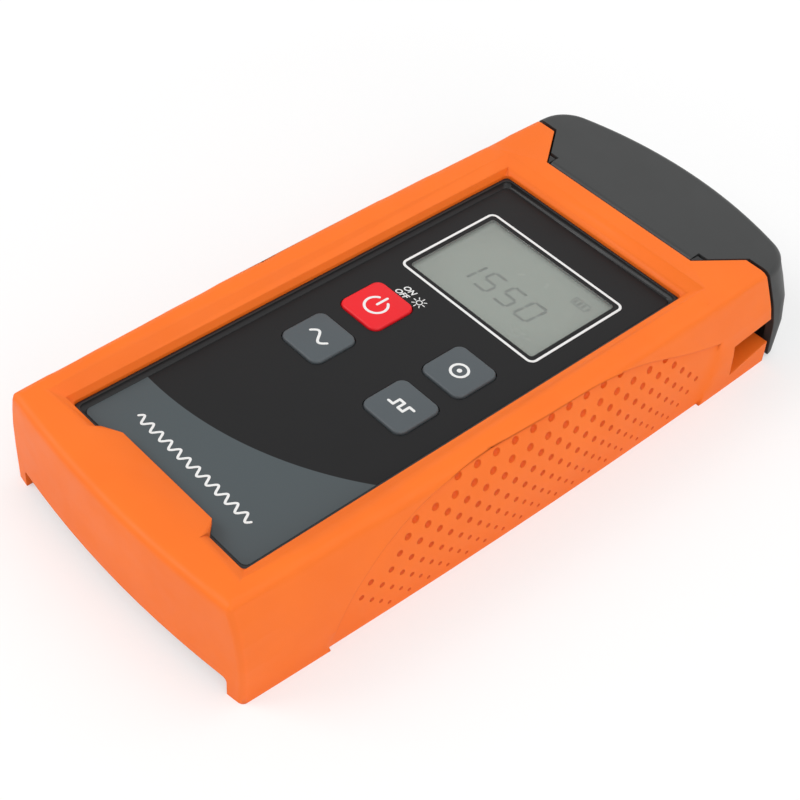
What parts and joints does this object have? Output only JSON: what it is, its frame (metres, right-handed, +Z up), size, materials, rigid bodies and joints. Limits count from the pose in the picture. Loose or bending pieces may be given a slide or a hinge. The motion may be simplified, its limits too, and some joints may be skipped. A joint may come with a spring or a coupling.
{
  "type": "optical light source",
  "caption": "Handheld optical fibre light source with a rubber boot, display, keypad, battery bay, inner laser and fibre, and a flip-up cap over its output port.",
  "frame": {"origin": "on the resting plane, under the middle of the overall length and width", "axes": "+Z up out of the display, +Y along the length towards the output port, +X to the right when the display reads upright"},
  "size_m": [0.0814, 0.1746, 0.028],
  "materials": {
    "boot_rubber": "matte moulded elastomer, bright orange",
    "case_plastic": "fine matte black",
    "cover_plastic": "satin dark grey",
    "panel_print": "matte film, black and slate grey",
    "window_clear": "clear polished",
    "lcd_glass": "grey green display glass",
    "light_guide": "frosted white",
    "white_plastic": "matte white",
    "key_grey": "satin slate grey",
    "key_red": "satin red",
    "mat_rubber": "matte grey",
    "spring_steel": "bright",
    "board_green": "solder mask, satin",
    "chip_black": "matte",
    "screw_steel": "zinc plated",
    "port_metal": "nickel plated, satin",
    "ceramic_white": "polished ceramic white",
    "cast_block": "milled",
    "laser_steel": "plated, satin",
    "fibre_jacket": "yellow jacket",
    "cell_can": "printed sleeve, gloss"
  },
  "bodies": {
    "case": {"protective_boot": "boot_rubber", "front_housing": "case_plastic", "rear_housing": "case_plastic", "front_panel": "panel_print", "display_window": "window_clear", "lcd_glass": "lcd_glass", "lcd_backlight": "light_guide", "lcd_holder": "white_plastic", "keypad_mat": "mat_rubber", "contact_domes": "spring_steel", "main_board": "board_green", "board_chips": "chip_black", "board_screws": "screw_steel", "case_screws": "screw_steel", "contact_plates": "spring_steel", "contact_springs": "spring_steel", "end_plate": "case_plastic", "output_port": "port_metal", "port_sleeve": "ceramic_white", "port_screws": "screw_steel", "pigtail_connector": "port_metal", "laser_mount": "cast_block", "laser_module": "laser_steel", "fibre_pigtail": "fibre_jacket", "hinge_pins": "spring_steel", "battery_cell_1": "cell_can", "battery_cell_2": "cell_can", "battery_cell_3": "cell_can"},
    "dust_cover": {"dust_cover": "cover_plastic"},
    "battery_door": {"battery_door": "case_plastic"},
    "power_key": {"power_key": "key_red"},
    "wavelength_key": {"wavelength_key": "key_grey"},
    "identify_key": {"identify_key": "key_grey"},
    "modulation_key": {"modulation_key": "key_grey"}
  },
  "joints": [
    {"name": "cover_hinge", "type": "hinge", "parent": "case", "child": "dust_cover", "pos_m": [0, 0.0614, 0.0267], "axis": [1, 0, 0], "range_deg": [0, 100]},
    {"name": "door_hinge", "type": "hinge", "parent": "case", "child": "battery_door", "pos_m": [0, -0.0794, 0.0026], "axis": [-1, 0, 0], "range_deg": [0, 60]},
    {"name": "power_press", "type": "slide", "parent": "case", "child": "power_key", "axis": [0, 0, -1], "range_m": [0, 0.0005], "stiffness_N_per_m": 400, "springref_m": -0.0003},
    {"name": "wavelength_press", "type": "slide", "parent": "case", "child": "wavelength_key", "axis": [0, 0, -1], "range_m": [0, 0.0005], "stiffness_N_per_m": 400, "springref_m": -0.0003},
    {"name": "identify_press", "type": "slide", "parent": "case", "child": "identify_key", "axis": [0, 0, -1], "range_m": [0, 0.0005], "stiffness_N_per_m": 400, "springref_m": -0.0003},
    {"name": "modulation_press", "type": "slide", "parent": "case", "child": "modulation_key", "axis": [0, 0, -1], "range_m": [0, 0.0005], "stiffness_N_per_m": 400, "springref_m": -0.0003}
  ]
}
